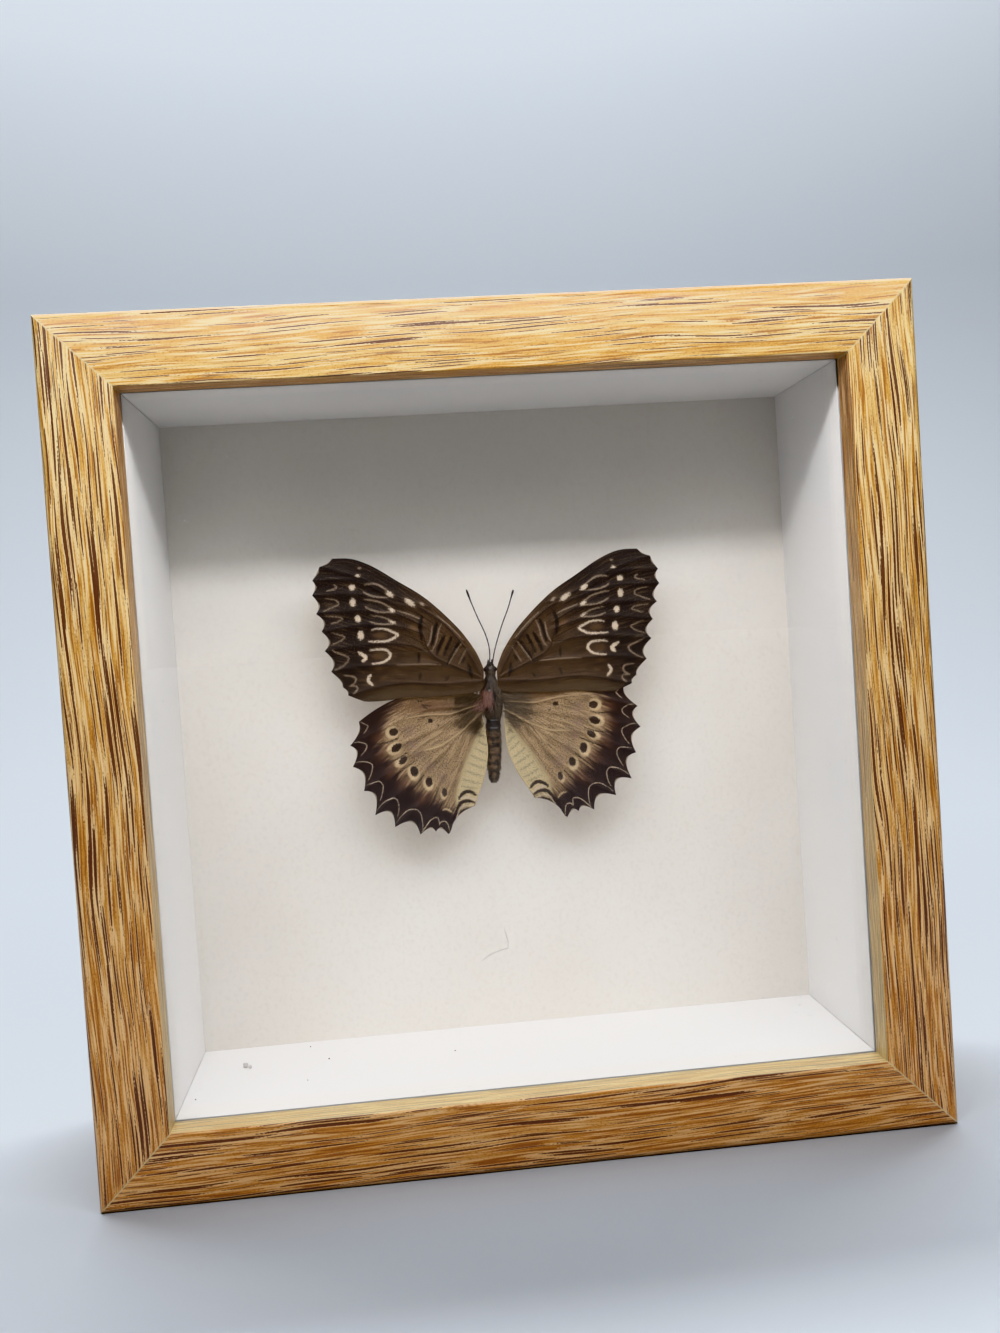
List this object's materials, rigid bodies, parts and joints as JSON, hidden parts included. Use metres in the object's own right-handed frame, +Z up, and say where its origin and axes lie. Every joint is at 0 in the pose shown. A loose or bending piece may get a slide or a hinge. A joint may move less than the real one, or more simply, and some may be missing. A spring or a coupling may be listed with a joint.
{
  "type": "framed butterfly specimen",
  "caption": "Square wood-grain shadow-box frame with glass, white-lined inside, holding a spread and pinned brown butterfly on a cream card.",
  "frame": {"origin": "middle of the underside of the bottom rail, under the middle of the frame's depth", "axes": "+Z up, +X to the viewer's right, +Y back through the frame, so that the glass faces -Y"},
  "size_m": [0.18, 0.058, 0.18],
  "materials": {
    "oak_foil": "satin wood-grain foil",
    "glass": "clear, polished",
    "white_board": "smooth, matte",
    "cream_card": "matte",
    "hardboard": "raw, matte",
    "steel": "zinc plated",
    "insect_body": "hairy, dry",
    "dark_wing": "scaled, matte",
    "tawny_wing": "scaled, matte"
  },
  "bodies": {
    "root": {"rail_top": "oak_foil", "rail_bottom": "oak_foil", "rail_left": "oak_foil", "rail_right": "oak_foil", "glass_pane": "glass", "spacer_top": "white_board", "spacer_bottom": "white_board", "spacer_left": "white_board", "spacer_right": "white_board", "card": "cream_card", "back_board": "hardboard", "bend_tab_top_1": "steel", "bend_tab_top_2": "steel", "bend_tab_bottom_1": "steel", "bend_tab_bottom_2": "steel", "bend_tab_left_1": "steel", "bend_tab_left_2": "steel", "bend_tab_right_1": "steel", "bend_tab_right_2": "steel", "sawtooth_hanger": "steel", "hanger_rivet_left": "steel", "hanger_rivet_right": "steel", "body": "insect_body", "forewing_left": "dark_wing", "forewing_right": "dark_wing", "hindwing_left": "tawny_wing", "hindwing_right": "tawny_wing", "pin": "steel"}
  },
  "joints": []
}
